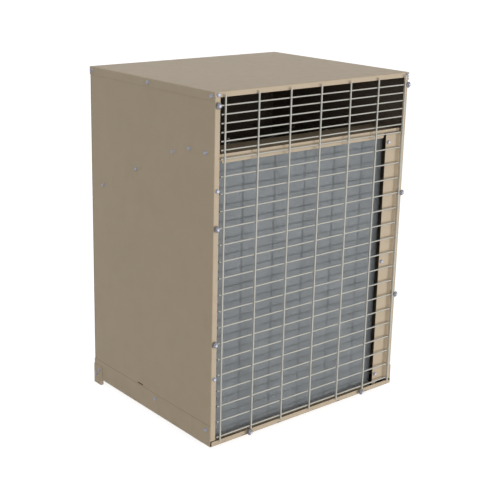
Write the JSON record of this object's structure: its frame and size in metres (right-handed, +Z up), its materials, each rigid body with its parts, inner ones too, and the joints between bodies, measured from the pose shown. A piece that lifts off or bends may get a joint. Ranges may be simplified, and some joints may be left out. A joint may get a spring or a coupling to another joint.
{
  "type": "condensing unit",
  "caption": "Front-discharge condensing unit: sheet-metal cabinet with a wire grille, coil, sloping fan deck, fan, compressor and service valves.",
  "frame": {"origin": "middle of the whole unit's footprint, on the surface that it stands on", "axes": "+Z up, -Y towards the wire grille (the front), +X to the right seen from the front"},
  "size_m": [0.6728, 0.6228, 0.9194],
  "materials": {
    "cabinet_paint": "beige powder coat with a light orange peel",
    "galvanised_sheet": "plain galvanised sheet",
    "grille_wire": "grey coated wire",
    "zinc_screws": "zinc plated",
    "liner_foam": "black insulation foam",
    "coil_fins": "dull aluminium fins",
    "copper": "bare copper tube",
    "compressor_paint": "black enamel",
    "black_steel": "dark painted steel",
    "rubber": "black rubber",
    "fan_plastic": "dark grey moulded plastic",
    "steel": "bright turned steel",
    "valve_brass": "turned brass",
    "relay_plastic": "black moulded plastic",
    "plunger_plastic": "pale moulded plastic",
    "capacitor_can": "drawn aluminium can",
    "reset_red": "red moulded plastic"
  },
  "bodies": {
    "cabinet": {"base_pan": "cabinet_paint", "front_support_rail": "cabinet_paint", "rear_foot_rail": "cabinet_paint", "left_side_panel": "cabinet_paint", "right_side_panel": "cabinet_paint", "top_cover": "cabinet_paint", "rear_panel": "cabinet_paint", "service_access_panel": "cabinet_paint", "fan_deck": "cabinet_paint", "corner_filler_panel": "cabinet_paint", "corner_post": "galvanised_sheet", "coil_top_channel": "cabinet_paint", "coil_support_rail": "cabinet_paint", "plenum_liner": "liner_foam", "grille_vertical_wires": "grille_wire", "grille_cross_wires": "grille_wire", "grille_clamps": "zinc_screws", "top_cover_screws": "zinc_screws", "deck_screws": "zinc_screws", "front_flange_screws": "zinc_screws", "base_screws": "zinc_screws", "foot_rail_screws": "zinc_screws", "filler_panel_screws": "zinc_screws", "rear_panel_screws": "zinc_screws", "access_panel_screws": "zinc_screws", "condenser_coil": "coil_fins", "coil_end_plates": "galvanised_sheet", "coil_return_bends": "copper", "coil_headers": "copper", "compressor_shell": "compressor_paint", "compressor_foot_plate": "compressor_paint", "compressor_grommets": "rubber", "compressor_bolts": "zinc_screws", "compressor_terminal_cover": "relay_plastic", "discharge_line": "copper", "suction_line": "copper", "liquid_line": "copper", "filter_drier": "black_steel", "valve_plate": "galvanised_sheet", "suction_service_valve": "valve_brass", "liquid_service_valve": "valve_brass", "suction_line_stub": "copper", "liquid_line_stub": "copper", "control_box": "galvanised_sheet", "contactor": "relay_plastic", "run_capacitor": "capacitor_can", "capacitor_strap": "galvanised_sheet", "pressure_switch": "steel", "fan_motor": "black_steel", "motor_bracket": "galvanised_sheet", "motor_bolts": "zinc_screws"},
    "fan_rotor": {"fan_impeller": "fan_plastic", "fan_bushing": "steel", "fan_shaft": "steel"},
    "contactor_armature": {"contactor_plunger": "plunger_plastic"},
    "reset_button": {"pressure_reset_button": "reset_red"},
    "suction_stem": {"suction_valve_stem": "steel"},
    "liquid_stem": {"liquid_valve_stem": "steel"}
  },
  "joints": [
    {"name": "fan_spin", "type": "hinge", "parent": "cabinet", "child": "fan_rotor", "pos_m": [0, 0.03601, 0.66344], "axis": [0, 0.4195, 0.9078], "continuous": true},
    {"name": "contactor_pull_in", "type": "slide", "parent": "cabinet", "child": "contactor_armature", "axis": [0, -1, 0], "range_m": [0, 0.003], "stiffness_N_per_m": 250, "springref_m": -0.002},
    {"name": "pressure_reset_press", "type": "slide", "parent": "cabinet", "child": "reset_button", "axis": [0, -1, 0], "range_m": [0, 0.0025], "stiffness_N_per_m": 150, "springref_m": -0.002},
    {"name": "suction_stem_turn", "type": "hinge", "parent": "cabinet", "child": "suction_stem", "pos_m": [0.1918, 0.26683, 0.22306], "axis": [0, 0, -1], "range_deg": [0, 1575]},
    {"name": "liquid_stem_turn", "type": "hinge", "parent": "cabinet", "child": "liquid_stem", "pos_m": [0.2618, 0.26206, 0.15852], "axis": [0, 0, -1], "range_deg": [0, 1575]}
  ]
}
